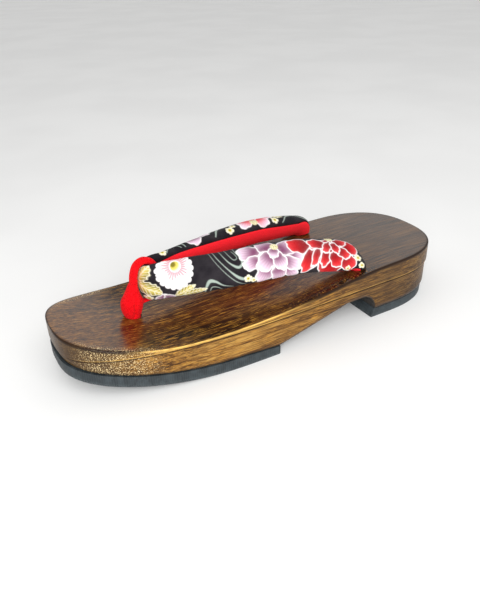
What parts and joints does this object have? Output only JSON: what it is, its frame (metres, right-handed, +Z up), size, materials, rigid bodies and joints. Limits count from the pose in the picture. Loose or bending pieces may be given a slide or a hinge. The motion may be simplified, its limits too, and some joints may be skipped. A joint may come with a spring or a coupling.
{
  "type": "geta sandal",
  "caption": "Wooden geta sandal with an arched waist, rubber under fore part and heel, and a padded floral thong strap held by a red toe loop.",
  "frame": {"origin": "on the floor under the middle of the shoe's length and width", "axes": "+Y along the foot towards the toe, +X to the wearer's right, +Z up from the floor"},
  "size_m": [0.0848, 0.24, 0.0581],
  "materials": {
    "burnt_wood": "burnt and brushed, clear satin lacquer, darker on the deck than on the sides",
    "sole_rubber": "matt dark slate sheet rubber, finely ribbed on its cut side",
    "printed_cotton": "black printed cotton with flowers, leaves and streams",
    "red_crepe": "matt red crepe cloth"
  },
  "bodies": {
    "root": {"base": "burnt_wood", "fore_sole": "sole_rubber", "heel_pad": "sole_rubber", "strap_cover": "printed_cotton", "strap_lining": "red_crepe", "toe_loop": "red_crepe"}
  },
  "joints": []
}
